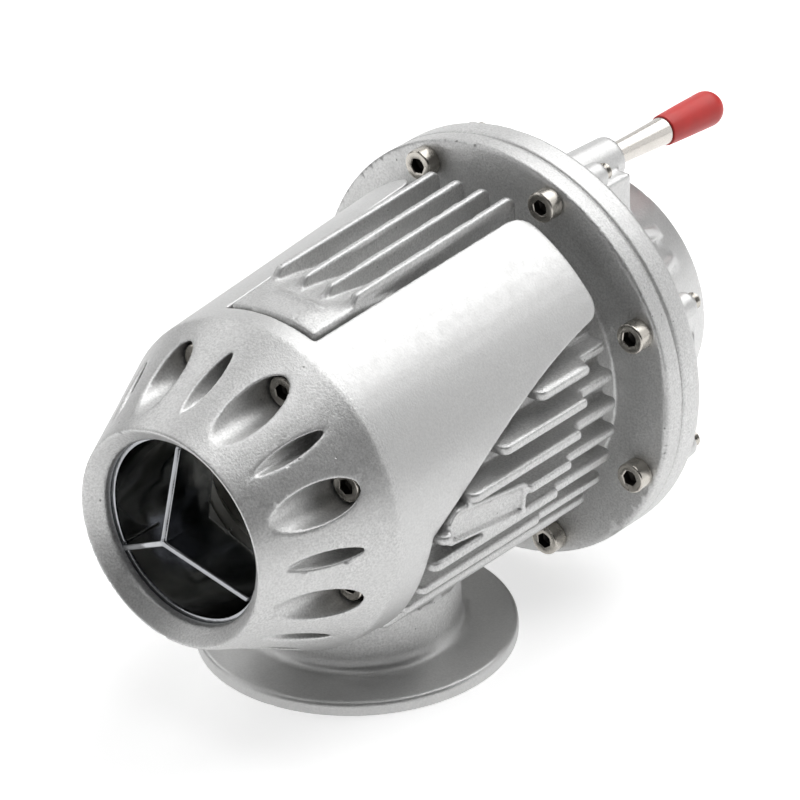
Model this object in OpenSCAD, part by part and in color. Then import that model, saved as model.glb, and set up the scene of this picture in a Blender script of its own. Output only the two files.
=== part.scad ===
// Pull-type turbo blow off valve: trumpet nose, swept shroud, finned body and rear diaphragm.
// Millimetres, +Z up. The origin is the centre of the inlet face. The valve axis lies along Y,
// with the nose towards -Y. Places along the axis are given as y.

/* [Inlet] */
// Diameter of the inlet flange
flange_d = 56; // [52:0.5:60]
// Thickness of the inlet flange
flange_t = 2.8; // [2:0.1:4]
// Chamfer on the upper edge of the flange
flange_chamfer = 0.4; // [0.1:0.1:0.8]
// Outer diameter of the inlet neck
neck_d = 36.4; // [35:0.2:37.6]
// Bore of the inlet
inlet_d = 31; // [26:0.5:32]
// Depth of that bore, below a wider throat
inlet_depth = 18; // [14:0.5:18.5]
// Bore of the throat between the inlet and the chamber
throat_d = 33; // [32.2:0.1:33.4]
// Fillet between the neck and the flange
neck_fillet = 1.8; // [1:0.1:4]
// Height of the rear rim above the inlet face
rim_clearance = 0.5; // [0.2:0.1:4]

/* [Nose] */
// Distance from the inlet centre to the front edge of the nose
nose_reach = 45.9; // [44.5:0.1:50]
// Length of the cone
cone_len = 22.9; // [21:0.1:24]
// Diameter of the front edge
mouth_d = 39; // [38:0.1:40]
// Diameter of the hole in the mouth
hole_d = 33.2; // [32:0.1:34]
// Depth of the chamfer from the front edge down to the hole
mouth_chamfer = 2.8; // [1:0.1:3.4]
// Length of the straight lip behind the chamfer
lip_len = 1.6; // [1:0.1:3]
// Diameter of the round screw pockets
pocket_d = 6.6; // [6:0.1:7]
// Width of the narrow pockets
slot_w = 2.6; // [1.8:0.1:3.2]
// Radial length of the narrow pockets
slot_len = 6; // [5:0.1:6.6]
// Number of round pockets, and of narrow pockets between them
pocket_count = 8; // [6:1:8]
// Thickness of the nose under the screw heads
screw_floor = 3.2; // [2.6:0.1:4.5]

/* [Shroud] */
// Diameter of the shroud where it meets the cone
shroud_front_d = 60.1; // [60:0.1:62]
// Diameter of the shroud at its rear edge
shroud_rear_d = 68.4; // [66.5:0.1:69]
// Distance from the inlet centre to the rear edge of the shroud
shroud_end = 32.2; // [30:0.1:34]
// Wall of the shroud
shroud_wall = 2.4; // [1.8:0.1:2.6]
// Gap between the shroud and the barrel, neck and fins
shroud_gap = 0.6; // [0.5:0.1:1]
// Radius of the sweep that opens the sides
sweep_r = 100.3; // [98:0.1:102]
// Centre of the sweep, behind the inlet centre
sweep_y = 49.2; // [48:0.1:51]
// Centre of the sweep, below the valve axis
sweep_drop = 80.5; // [79.6:0.1:82]
// Front end of the side openings, ahead of the inlet centre
opening_reach = 15.6; // [14:0.1:17]
// Radius of the front end of the side openings
opening_r = 60; // [50:1:80]
// Rounding of the shroud's rear corners
corner_r = 3.4; // [1:0.1:4]
// Front end of the top window, ahead of the inlet centre
window_reach = 19.1; // [18:0.1:20]
// Width of the top window at its front
window_front_w = 19.2; // [18.4:0.1:21]
// Width of the top window at the rear edge
window_rear_w = 22.8; // [21:0.1:25]

/* [Fins] */
// Number of fins in the top window
top_fins_n = 4; // [3:1:4]
// Pitch of the top fins
top_pitch = 5.5; // [5:0.1:5.7]
// Thickness of the top fins
top_fin_t = 1.5; // [1:0.1:1.8]
// Height of the top fins' front above the valve axis
top_fin_front = 32; // [31.4:0.1:33]
// Height of the top fins' rear above the valve axis
top_fin_rear = 34; // [33:0.1:35]
// Front of the top fins, ahead of the inlet centre
top_fin_reach = 9.5; // [8:0.1:12]
// How far the fins run past the rear edge of the shroud
fin_overrun = 2; // [1:0.1:2.4]
// Rise of the pad in the window above the shroud
pad_rise = 0.3; // [0.1:0.1:0.8]
// Distance of the pad's ridge from its front
ridge_set = 6.4; // [5:0.1:7]
// Length of the ridge across the pad
ridge_len = 11; // [8:0.1:13]
// Width and height of the ridge
ridge_w = 0.6; // [0.4:0.1:1]
// Radius of the scooped floor between the top fins
scoop_r = 94; // [80:1:110]
// Number of fins on each side
side_fins_n = 8; // [6:1:8]
// Pitch of the side fins
side_pitch = 5.2; // [5:0.1:5.3]
// Thickness of the side fins
side_fin_t = 1.8; // [1.2:0.1:2]
// Height of the upper side fin above the valve axis
side_fin_top = 11.6; // [11:0.1:12.2]
// Radius of the side fins' outer edge
side_fin_r = 33; // [32.4:0.1:33.4]
// Height of that radius' centre above the valve axis
side_fin_lift = 3; // [1:0.1:4]
// Radius of the side fins' lower rear part, about the valve axis
side_low_r = 31; // [30.4:0.1:31.4]
// Where the step lies at the height of the valve axis, behind the inlet centre
step_y = 22; // [20:0.1:24]
// How far the step moves back with each millimetre of height
step_slope = 0.36; // [0:0.02:0.4]
// Length of the framed panel over the side fins
panel_len = 20.8; // [18:0.1:22]
// Height of the framed panel
panel_h = 7; // [6:0.1:7.4]
// Middle of the framed panel, ahead of the inlet centre
panel_ahead = 1.5; // [0:0.1:3]
// Middle of the framed panel, below the valve axis
panel_drop = 4.4; // [3.6:0.1:5]
// Tilt of the framed panel, front end up, in degrees
panel_tilt = 8.5; // [0:0.5:10]
// Lean of the panel's ends, upper corner ahead, in degrees
panel_lean = 9; // [0:0.5:12]
// Radius of the panel's frame about the valve axis
panel_r = 31.7; // [31:0.1:32.4]
// Width and height of the panel's frame
panel_rim = 1; // [0.6:0.1:1.4]
// Distance of the panel from the edge of the side opening, along the axis
panel_gap = 0.9; // [0.8:0.1:2]

/* [Rear flange and cover] */
// Diameter of the rim
rim_d = 77.6; // [77:0.1:80]
// Thickness of the body's flange
rim_t = 4.05; // [3.5:0.05:5]
// Gap between the shroud's rear edge and the rim
rim_gap = 5.7; // [5.2:0.1:8]
// Distance of the rim's screws from its edge
rim_edge = 3.6; // [3.4:0.1:3.9]
// Number of screws in the rim
rim_screws_n = 8; // [6:1:8]
// Width of the metal edge around the clamped diaphragm
rim_lip = 1.2; // [0.8:0.1:1.4]
// Thickness of the cover's flange
cover_t = 4.9; // [4.4:0.05:5.6]
// Diameter of the cover's tapered drum at the flange
drum_d = 63; // [61.6:0.1:63.4]
// Diameter of the drum at its rear
crown_d = 45; // [42:0.1:48]
// Depth of the drum behind the cover's flange
drum_depth = 23.2; // [22:0.1:24.5]
// Wall of the drum
drum_wall = 2.4; // [2:0.1:2.8]
// Rounding of the drum's rear edge
drum_round = 2; // [1:0.1:3]
// Diameter of the screw bosses on the cover
boss_d = 5; // [4.6:0.1:6]
// Height of the screw bosses
boss_h = 4.4; // [3:0.1:5.4]
// Thickness of the ribs between drum and flange
rib_t = 1.6; // [1:0.1:2.4]
// Height of those ribs
rib_h = 16.5; // [12:0.1:18]
// Distance of the ribs' foot from the rim's edge
rib_set = 1.2; // [0.8:0.1:2.2]
// Angle from a screw to the first rib beside it
rib_first = 11; // [9:0.5:14]
// Angle from a screw to the second rib beside it
rib_second = 23.5; // [18:0.5:30]

/* [Vacuum nipple] */
// Angle of the nipple around the axis, from +X up
nipple_angle = 77; // [76:0.5:80]
// Diameter of the circle that the nipple lies on
nipple_circle = 62; // [61:0.1:63]
// Sideways splay of the nipple, in degrees
nipple_splay = 2.7; // [0:0.1:4]
// Diameter of its boss
nipple_boss_d = 8; // [7.4:0.1:9]
// Height of its boss behind the cover's flange
nipple_boss_h = 14.8; // [14:0.1:18]
// Reach of the shoulder beside the boss, from the nipple
shoulder_w = 7.7; // [6:0.1:8]
// Height of that shoulder above the valve axis
shoulder_top = 30.2; // [29.6:0.1:30.4]
// Length of that shoulder behind the cover's flange
shoulder_len = 12; // [9:0.1:12.6]
// Diameter of the nipple at its root
nipple_root_d = 4; // [3.6:0.1:4.4]
// Diameter of the flare
nipple_flare_d = 5; // [4.9:0.1:5.4]
// Diameter of the hose end, under the cap
nipple_d = 4.6; // [4.2:0.1:4.8]
// Bore of the nipple
nipple_bore = 2.4; // [1.6:0.1:2.6]
// Length of the flared part
flare_len = 14.3; // [11:0.1:15]
// Length of the hose end
hose_len = 10; // [8:0.1:12]
// Length of the nipple inside its boss
nipple_press = 7; // [4:0.1:8]
// Wall of the cap at its open end
cap_wall = 0.45; // [0.3:0.05:0.7]
// Largest diameter of the cap
cap_d = 6.5; // [6:0.1:7]
// Thickness of the cap's closed end
cap_end = 5; // [4:0.1:6]

/* [Insert] */
// Wall of the insert's sleeve
insert_wall = 1.5; // [1.2:0.1:2]
// Number of blades
blade_count = 3; // [3:1:4]
// Thickness of the blades
blade_t = 1.1; // [0.8:0.1:1.6]
// Length of the blades along the axis, in the middle
blade_len = 11; // [8:0.1:13]
// Rise of the blades' front edge from the middle to the wall, per millimetre
blade_slope = 0.3; // [0.2:0.01:0.36]
// Depth of the blades' front edge behind the hole, at the wall
blade_set = 0.6; // [0.2:0.1:1]

/* [Screws] */
// Thread diameter of the socket screws
screw_d = 3; // [2.5:0.5:3]
// Diameter of the screw heads
head_d = 5.5; // [5:0.1:5.8]
// Height of the screw heads
head_h = 3; // [2.5:0.1:3]
// Width across flats of the screws' socket
socket_w = 2.5; // [2:0.1:2.6]
// Circle of the screws in the nose
housing_circle = 48.6; // [48.4:0.1:49]
// Length of thread of the nose screws in the body
housing_grip = 7; // [5:0.1:9]
// How far the rim screws stand out of the cover's bosses
screw_proud = 2.2; // [1:0.1:2.4]

/* [Valves] */
// Outer diameter of the seat ring
seat_d = 41; // [40:0.1:41.4]
// Bore of the seat ring
seat_bore = 27; // [26:0.1:28]
// Depth of the seat ring in the body
seat_depth = 6; // [5:0.1:7]
// Height of the sealing lip
lip_h = 0.8; // [0.5:0.1:1.2]
// Width of the sealing lip
lip_w = 1.5; // [1:0.1:1.8]
// Bore of the chamber behind the seat
chamber_d = 37; // [36:0.1:37.6]
// Diameter of the large valve disc
large_disc_d = 33.8; // [33:0.1:34.6]
// Thickness of the large valve disc
large_disc_t = 3; // [2.8:0.1:4]
// Diameter of the ports in the large disc
port_d = 4.4; // [3:0.1:4.6]
// Number of ports
port_count = 6; // [4:1:6]
// Circle of the ports
port_circle = 17.2; // [16.8:0.1:17.6]
// Diameter of the small valve disc
small_disc_d = 24.4; // [23.6:0.1:25]
// Thickness of the small valve disc
small_disc_t = 2.55; // [2:0.05:3.5]
// Thickness of the rubber face rings
seal_t = 1.4; // [1:0.1:1.6]
// How far the face rings stand out of their discs
seal_proud = 0.6; // [0.4:0.1:0.8]
// Lift of the small valve
small_lift = 2.5; // [1.5:0.1:3]
// Lift of the large valve
large_lift = 5.5; // [3:0.1:6]

/* [Shaft and diaphragm] */
// Diameter of the shaft
shaft_d = 5; // [4.6:0.1:5.4]
// Diameter of the threaded rear end
stud_d = 4; // [3.4:0.1:4.2]
// Outer diameter of the guide bush
bush_d = 10; // [9:0.1:11]
// Length of the guide bush
bush_len = 7; // [5:0.1:9]
// Thickness of the shaft's rubber ring
ring_t = 1.5; // [1:0.1:2]
// Diameter of the front collar
collar_d = 10; // [9:0.1:12]
// Thickness of the front collar
collar_t = 1.8; // [1.4:0.1:2.4]
// Thickness of the diaphragm
sheet_t = 0.8; // [0.5:0.1:1.2]
// Height of the diaphragm's convolution
fold_h = 4.5; // [3:0.1:5]
// Diameter of the diaphragm plates
plate_d = 34; // [32:0.1:35]
// Thickness of the diaphragm plates
plate_t = 1; // [0.8:0.1:1.4]
// Height of the turned-up edge of the rear plate
plate_edge = 3; // [2:0.1:4]
// Width across flats of the nut
nut_w = 7; // [6.6:0.1:8]
// Height of the nut
nut_h = 3.2; // [2.6:0.1:3.4]
// Diameter of the washer
washer_d = 9; // [8.6:0.1:11]
// Thickness of the washer
washer_t = 0.8; // [0.5:0.1:1]
// How far the diaphragm's middle lies ahead of its clamped rim
dish = 1.77; // [1.2:0.05:2.4]

/* [Springs] */
// Mean diameter of the main spring
main_spring_d = 23; // [20:0.5:24]
// Wire of the main spring
main_wire = 1.4; // [1:0.1:1.6]
// Turns of the main spring
main_turns = 4.5; // [3:0.5:5]
// Mean diameter of the pilot spring
pilot_spring_d = 7.8; // [7.4:0.1:8.4]
// Wire of the pilot spring
pilot_wire = 0.6; // [0.4:0.1:0.7]
// Turns of the pilot spring
pilot_turns = 3; // [2:0.5:3]

/* [Clearances] */
// Running clearance of sliding pieces, on the radius
running = 0.05; // [0.02:0.01:0.08]
// Clearance of fixed pieces, on the radius
seating = 0.03; // [0.01:0.01:0.06]
// Clearance of screw holes, on the radius
hole_clearance = 0.2; // [0.1:0.05:0.3]

/* [Hidden] */
$fn = 96;

// Extra length that lets a cut break through
over = 1;
// Longer than anything it cuts
far = 200;

// The axis, and the faces along it
axis_z = rim_d / 2 + rim_clearance;
nose_front = -nose_reach;
hole_y = nose_front + mouth_chamfer;
shoulder_y = hole_y + lip_len;
cone_edge = nose_front + cone_len;
joint_step = 2;
joint_y = cone_edge + joint_step;
head_seat_y = joint_y - screw_floor;
seat_y = joint_y + seat_depth;
lip_y = seat_y + lip_h;
rim_front = shroud_end + rim_gap;
rim_rear = rim_front + rim_t;
cover_front = rim_rear;
cover_rear = cover_front + cover_t;
drum_rear = cover_rear + drum_depth;
drum_inside = drum_rear - drum_wall;
drum_taper = atan((drum_d - crown_d) / 2 / drum_depth);
fin_rear = shroud_end + fin_overrun;

// The shroud's taper, and the barrel inside it
shroud_slope = (shroud_rear_d - shroud_front_d) / 2 / (shroud_end - cone_edge);
function shroud_r(y) = shroud_front_d / 2 + shroud_slope * (y - cone_edge);
barrel_r = shroud_r(joint_y) - shroud_wall - shroud_gap;
shoulder = 0.9;
insert_r = hole_d / 2 + shoulder;

// The chamber, the guide wall and the space ahead of the diaphragm
chamber_wall = 1.5;
chamber_rear = throat_d / 2 + chamber_wall;
ring_room = 0.5;
guide_rear = chamber_rear + bush_len + ring_t + ring_room;
dish_wall = 3.4;
dish_r = barrel_r - dish_wall;
clamp_w = 4;
rim_circle = rim_d - 2 * rim_edge;
clamp_r = rim_d / 2 - rim_lip;
cavity_r = min(drum_d / 2 - drum_wall, rim_circle / 2 - screw_d / 2 - hole_clearance - clamp_w);
sheet_room = 2.9;

// The valves: each face along the axis, when shut
seal_front = lip_y + running;
large_front = seal_front + seal_proud;
large_rear = large_front + large_disc_t;
hub_len = 2.4;
hub_front = large_front - hub_len;
hub_wall = 2.1;
hub_r = shaft_d / 2 + hub_wall;
spring_well = 2;
well_gap = 0.8;
well_r = pilot_spring_d / 2 + pilot_wire / 2 + well_gap;
small_seal_front = large_rear + running;
small_front = small_seal_front + seal_t - seal_proud;
small_rear = small_front + small_disc_t;
seal_in = 0.5;
seal_out = 0.7;
small_seal_in = port_circle / 2 - port_d / 2 - seal_in;
small_seal_out = port_circle / 2 + port_d / 2 + seal_out;
large_seal_in = seat_bore / 2 - seal_in;
large_seal_out = seat_bore / 2 + lip_w + seal_out;
lift_room = 0.1;
collar_rear = hub_front - small_lift - lift_room;
collar_front = collar_rear - collar_t;

// The diaphragm stack on the shaft
sheet_mid = rim_rear - dish;
plate_seat = sheet_mid - plate_t;
plate_rear = sheet_mid + sheet_t;
washer_front = plate_rear + plate_t;
nut_front = washer_front + washer_t;
nut_rear = nut_front + nut_h;
stud_proud = 1.2;
stud_rear = nut_rear + stud_proud;

// The nipple
boss_rear = cover_rear + nipple_boss_h;
press_front = boss_rear - nipple_press;
flare_end = boss_rear + flare_len;
hose_end = flare_end + hose_len;
cap_rear = hose_end + cap_end;

// Frames of reference

// Local z runs along the valve axis, so a local z is a y of the part
module on_axis() {
    translate([0, 0, axis_z])
        rotate([-90, 0, 0])
            children();
}

// Copies around the axis, the first at a given angle from +X
module around(count, circle, first = 0) {
    for (i = [0 : count - 1])
        rotate([0, 0, first + i * 360 / count])
            translate([circle / 2, 0, 0])
                children();
}

// Copies for the screws of the rim
module around_rim() {
    around(rim_screws_n, rim_circle, 180 / rim_screws_n)
        children();
}

// The nipple's own axis, splayed to the side from the cover's flange on
module at_nipple() {
    on_axis()
        rotate([0, 0, -nipple_angle])
            translate([nipple_circle / 2, 0, cover_rear])
                rotate([-nipple_splay, 0, 0])
                    translate([0, 0, -cover_rear])
                        children();
}

// A shape drawn in y and z, extruded across X
module across(width, from = 0) {
    translate([from, 0, 0])
        rotate([90, 0, 90])
            linear_extrude(width)
                children();
}

// Basic solids along the axis

module rod(r, from, to) {
    translate([0, 0, from])
        cylinder(r = r, h = to - from);
}

module sleeve(r_out, r_in, from, to) {
    difference() {
        rod(r_out, from, to);
        rod(r_in, from - over, to + over);
    }
}

// A socket screw that points along local z, with its head ahead of seat
module socket_screw(seat, tip) {
    difference() {
        union() {
            rod(head_d / 2, seat - head_h, seat);
            rod(screw_d / 2, seat, tip);
        }
        translate([0, 0, seat - head_h - over])
            cylinder(d = socket_w / cos(30), h = head_h / 2 + over, $fn = 6);
    }
}

// A round wire wound into a coil between two places along local z
module coil(mean_d, wire, turns, from, to) {
    steps = ceil(turns * 20);
    sides = 8;
    rise = (to - from - wire) / steps;
    points = [for (i = [0 : steps], j = [0 : sides - 1])
        let (turn = i * 360 * turns / steps, round = j * 360 / sides,
            r = mean_d / 2 + wire / 2 * cos(round))
        [r * cos(turn), r * sin(turn), from + wire / 2 + i * rise + wire / 2 * sin(round)]];
    skin = [for (i = [0 : steps - 1], j = [0 : sides - 1])
        let (k = (j + 1) % sides)
        [i * sides + j, (i + 1) * sides + j, (i + 1) * sides + k, i * sides + k]];
    start = [[for (j = [0 : sides - 1]) j]];
    end = [[for (j = [sides - 1 : -1 : 0]) steps * sides + j]];
    polyhedron(points, concat(skin, start, end), convexity = 10);
}

// Cuts and pockets of the front housing

// A pocket with two curved sides that meet in points
module slot_shape() {
    side_r = (slot_len * slot_len / 4 + slot_w * slot_w / 4) / slot_w;
    intersection_for (side = [-1, 1])
        translate([0, side * (side_r - slot_w / 2)])
            circle(side_r);
}

module nose_pockets() {
    half = 180 / pocket_count;
    around(pocket_count, housing_circle, half) {
        rod(pocket_d / 2, nose_front - over, head_seat_y);
        rod(screw_d / 2 + hole_clearance, nose_front, joint_y + over);
    }
    around(pocket_count, housing_circle)
        translate([0, 0, nose_front - over])
            linear_extrude(head_seat_y - nose_front)
                slot_shape();
}

// Height of the side opening's upper edge, and y of that edge at a height above the axis
function sweep_height(y) = sqrt(sweep_r * sweep_r - pow(y - sweep_y, 2)) - sweep_drop;
opening_drop = 14;
function sweep_front(h) = sweep_y - sqrt(sweep_r * sweep_r - pow(h + sweep_drop, 2));
function round_front(h) =
    opening_r - opening_reach - sqrt(opening_r * opening_r - pow(h + opening_drop, 2));
function opening_front(h) = max(sweep_front(h), round_front(h));

// The swept openings, drawn in y and z
module side_opening() {
    corner_y = shroud_end - corner_r;
    corner_z = sweep_height(corner_y);
    translate([0, axis_z]) {
        intersection() {
            translate([sweep_y, -sweep_drop])
                circle(sweep_r);
            translate([opening_r - opening_reach, -opening_drop])
                circle(opening_r);
        }
        difference() {
            translate([corner_y, corner_z - over])
                square([corner_r + over, corner_r + over]);
            translate([corner_y, corner_z + corner_r])
                circle(corner_r);
        }
    }
}

// The top window in plan, narrowed by a margin on every side
module window_plan(margin = 0, rear = shroud_end + 1) {
    front_y = margin - window_reach;
    slope = (window_rear_w - window_front_w) / 2 / (shroud_end + window_reach);
    front_x = window_front_w / 2 + slope * margin - margin;
    rear_x = front_x + slope * (rear - front_y);
    polygon([[-front_x, front_y], [front_x, front_y], [rear_x, rear], [-rear_x, rear]]);
}

// Rounds the two shroud corners beside the window
module window_corners() {
    for (side = [-1, 1])
        difference() {
            translate([side * window_rear_w / 2 - corner_r, shroud_end - corner_r])
                square([2 * corner_r, corner_r + over]);
            translate([side * (window_rear_w / 2 + corner_r), shroud_end - corner_r])
                circle(corner_r);
        }
}

// Castings

module front_housing() {
    profile = [
        [hole_d / 2, hole_y], [mouth_d / 2, nose_front], [shroud_front_d / 2, cone_edge],
        [shroud_rear_d / 2, shroud_end], [shroud_rear_d / 2 - shroud_wall, shroud_end],
        [shroud_r(joint_y) - shroud_wall, joint_y], [insert_r, joint_y],
        [insert_r, shoulder_y], [hole_d / 2, shoulder_y]];
    color("silver")
        difference() {
            on_axis()
                rotate_extrude()
                    polygon(profile);
            on_axis()
                nose_pockets();
            across(far, -far / 2)
                side_opening();
            translate([0, 0, axis_z])
                linear_extrude(far) {
                    window_plan();
                    window_corners();
                }
            cylinder(r = neck_d / 2 + shroud_gap, h = axis_z);
        }
}

// The neck with its flange and fillet
module inlet_neck() {
    neck_r = neck_d / 2;
    cylinder(d = flange_d, h = flange_t - flange_chamfer);
    translate([0, 0, flange_t - flange_chamfer])
        cylinder(r1 = flange_d / 2, r2 = flange_d / 2 - flange_chamfer, h = flange_chamfer);
    cylinder(r = neck_r, h = axis_z);
    translate([0, 0, flange_t])
        rotate_extrude()
            difference() {
                square([neck_r + neck_fillet, neck_fillet]);
                translate([neck_r + neck_fillet, neck_fillet])
                    circle(neck_fillet);
            }
}

// The raised pad in the window, which falls away as the floor between the fins
module top_pad() {
    intersection() {
        translate([0, 0, axis_z])
            linear_extrude(far)
                window_plan(shroud_gap, fin_rear);
        on_axis()
            rotate_extrude()
                polygon([[0, cone_edge], [shroud_r(cone_edge) + pad_rise, cone_edge],
                    [shroud_r(fin_rear) + pad_rise, fin_rear], [0, fin_rear]]);
        across(far, -far / 2)
            translate([shroud_gap - window_reach, axis_z + shroud_r(-window_reach) + pad_rise - scoop_r])
                circle(scoop_r);
    }
}

// The low ridge across the pad
module pad_ridge() {
    ridge_y = shroud_gap - window_reach + ridge_set;
    intersection() {
        translate([-ridge_len / 2, ridge_y - ridge_w / 2, axis_z])
            cube([ridge_len, ridge_w, far]);
        on_axis()
            rod(shroud_r(ridge_y) + pad_rise, cone_edge, shroud_end);
    }
}

// One upright fin, drawn in y and z, with a rounded rear end
module top_fin_side() {
    tip = 2;
    nose = 2.4;
    root = barrel_r - 2;
    slope = (top_fin_rear - top_fin_front) / (fin_rear + top_fin_reach);
    translate([0, axis_z]) {
        polygon([
            [-top_fin_reach, root], [-top_fin_reach, top_fin_front - nose],
            [nose - top_fin_reach, top_fin_front], [fin_rear - tip, top_fin_rear - slope * tip],
            [fin_rear, top_fin_rear - slope * tip - tip], [fin_rear, root]]);
        translate([fin_rear - tip, top_fin_rear - slope * tip - tip])
            circle(tip);
    }
}

module top_fins() {
    for (i = [0 : top_fins_n - 1])
        across(top_fin_t, (i - (top_fins_n - 1) / 2) * top_pitch - top_fin_t / 2)
            top_fin_side();
}

// One side fin in plan: a long part, and a lower part behind the step, both with round ends
module side_fin_plan(h) {
    tip = 1.6;
    root = 2 * tip;
    low_x = sqrt(side_low_r * side_low_r - h * h);
    long_x = max(low_x, sqrt(side_fin_r * side_fin_r - pow(h - side_fin_lift, 2)));
    front_y = opening_front(h + side_fin_t / 2) + shroud_gap;
    rear_y = step_y + step_slope * h;
    translate([root, front_y])
        square([long_x - tip - root, rear_y - front_y]);
    translate([root, front_y + tip])
        square([long_x - root, rear_y - tip / 2 - front_y - tip]);
    translate([long_x - tip, front_y + tip])
        circle(tip);
    translate([root, front_y + tip])
        square([low_x - root, fin_rear - tip - front_y - tip]);
    translate([root, front_y + tip])
        square([low_x - tip - root, fin_rear - front_y - tip]);
    translate([low_x - tip, fin_rear - tip])
        circle(tip);
}

module side_fins() {
    for (side = [0, 1], i = [0 : side_fins_n - 1])
        let (h = side_fin_top - i * side_pitch)
            mirror([side, 0, 0])
                translate([0, 0, axis_z + h - side_fin_t / 2])
                    linear_extrude(side_fin_t)
                        side_fin_plan(h);
}

// The framed panel's outline in y and z, narrowed by a margin and kept inside the side opening
module panel_plan(margin = 0) {
    half_len = panel_len / 2 - margin;
    half_h = panel_h / 2 - margin;
    fall = half_len * tan(panel_tilt);
    lean = half_h * tan(panel_lean);
    intersection() {
        translate([panel_gap + margin, 0])
            side_opening();
        translate([-panel_ahead, axis_z - panel_drop])
            polygon([[lean - half_len, fall - half_h], [lean + half_len, -fall - half_h],
                [half_len - lean, half_h - fall], [-half_len - lean, half_h + fall]]);
    }
}

// The space over the panel's floor
module panel_space(margin = 0) {
    difference() {
        across(far)
            panel_plan(margin);
        on_axis()
            rod(panel_r - panel_rim, -far / 2, far / 2);
    }
}

// The panel lies over the fourth and fifth side fin
module side_panel() {
    difference() {
        intersection() {
            across(far)
                panel_plan();
            on_axis()
                rod(panel_r, -far / 2, far / 2);
        }
        panel_space(panel_rim);
    }
}

module main_body() {
    half = 180 / pocket_count;
    color("gainsboro")
        difference() {
            union() {
                inlet_neck();
                on_axis() {
                    rod(barrel_r, joint_y, rim_front + over);
                    rod(rim_d / 2, rim_front, rim_rear);
                }
                top_pad();
                pad_ridge();
                top_fins();
                difference() {
                    side_fins();
                    panel_space();
                }
                side_panel();
            }
            translate([0, 0, -over])
                cylinder(d = inlet_d, h = inlet_depth + 2 * over);
            translate([0, 0, inlet_depth])
                cylinder(d = throat_d, h = axis_z - inlet_depth);
            on_axis() {
                rod(seat_d / 2, joint_y - over, seat_y);
                rod(chamber_d / 2, joint_y, chamber_rear);
                rod(bush_d / 2 + seating, joint_y, rim_rear + over);
                rod(dish_r, guide_rear, rim_rear + over);
                rod(cavity_r, rim_rear - sheet_room, rim_rear + over);
                around(pocket_count, housing_circle, half)
                    rod(screw_d / 2 + seating, joint_y - over, joint_y + housing_grip + over);
                around_rim()
                    rod(screw_d / 2 + hole_clearance, rim_front - over, rim_rear + over);
            }
        }
}

// The drum's outline, drawn as radius and y
module drum_shape() {
    middle_y = drum_rear - drum_round;
    middle_r = crown_d / 2 + drum_round * tan(drum_taper) - drum_round / cos(drum_taper);
    polygon([[0, cover_rear - over], [drum_d / 2, cover_rear - over], [drum_d / 2, cover_rear],
        [middle_r + drum_round * cos(drum_taper), middle_y + drum_round * sin(drum_taper)],
        [middle_r, drum_rear], [0, drum_rear]]);
    translate([middle_r, middle_y])
        circle(drum_round);
}

// The space in the cover, drawn as radius and y
module cover_space() {
    polygon([[0, cover_front - over], [cavity_r, cover_front - over], [cavity_r, cover_rear],
        [crown_d / 2 - drum_wall, drum_inside], [0, drum_inside]]);
}

// A rib from the flange to the drum
module cover_rib() {
    root = 1;
    foot = (rim_d - drum_d) / 2 - rib_set;
    fall = rib_h * tan(drum_taper);
    rotate([90, 0, 0])
        linear_extrude(rib_t, center = true)
            polygon([[-root, cover_rear - over], [foot, cover_rear - over], [foot, cover_rear],
                [-fall, cover_rear + rib_h], [-fall - root, cover_rear + rib_h]]);
}

module rear_cover() {
    port_r = nipple_bore / 2;
    port_y = cover_rear + port_r + drum_round;
    color("lightgray")
        difference() {
            union() {
                on_axis() {
                    rod(rim_d / 2, cover_front, cover_rear);
                    rotate_extrude()
                        drum_shape();
                    around_rim()
                        rod(boss_d / 2, cover_rear - over, cover_rear + boss_h);
                    for (turn = [rib_first, rib_second])
                        around(rim_screws_n, drum_d, -180 / rim_screws_n - turn)
                            cover_rib();
                }
                at_nipple()
                    rod(nipple_boss_d / 2, cover_rear - over, boss_rear);
                translate([nipple_circle / 2 * cos(nipple_angle), cover_rear - over, axis_z])
                    cube([shoulder_w, shoulder_len + over, shoulder_top]);
            }
            on_axis() {
                rod(clamp_r, cover_front - over, cover_front + sheet_t);
                rotate_extrude()
                    cover_space();
                around_rim()
                    rod(screw_d / 2 + seating, cover_front - over, cover_rear + boss_h + over);
            }
            at_nipple() {
                rod(nipple_root_d / 2 + seating, press_front, boss_rear + over);
                rod(port_r, port_y, press_front + over);
                translate([0, 0, port_y])
                    rotate([0, -90, 0])
                        cylinder(r = port_r, h = nipple_circle / 2 - cavity_r + drum_wall);
            }
        }
}

// Pieces in the nose

module discharge_insert() {
    r_out = insert_r - running;
    r_in = r_out - insert_wall;
    root = r_in + insert_wall / 2;
    from = shoulder_y + running;
    edge_y = hole_y + blade_set;
    tip_y = edge_y - blade_slope * r_in;
    back_y = tip_y + blade_len;
    rake = 3;
    color("dimgray")
        on_axis() {
            sleeve(r_out, r_in, from, joint_y - running);
            for (i = [0 : blade_count - 1])
                rotate([0, 0, 30 + i * 360 / blade_count])
                    rotate([90, 0, 0])
                        linear_extrude(blade_t, center = true)
                            polygon([[0, tip_y], [r_in, edge_y], [r_in, from], [root, from],
                                [root, back_y + rake], [0, back_y]]);
        }
}

module seat_ring() {
    groove = 1.6;
    r_out = seat_d / 2 - seating;
    middle = (joint_y + seat_y) / 2;
    color("darkkhaki")
        on_axis()
            difference() {
                union() {
                    rod(r_out, joint_y, seat_y);
                    rod(seat_bore / 2 + lip_w, joint_y, lip_y);
                }
                rod(seat_bore / 2, joint_y - over, lip_y + over);
                sleeve(r_out + over, r_out - groove, middle - groove / 2, middle + groove / 2);
            }
}

module seat_seal() {
    section = 1.5;
    color("#222222")
        on_axis()
            translate([0, 0, (joint_y + seat_y) / 2])
                rotate_extrude()
                    translate([seat_d / 2 - section / 2 - running, 0])
                        circle(d = section);
}

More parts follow.
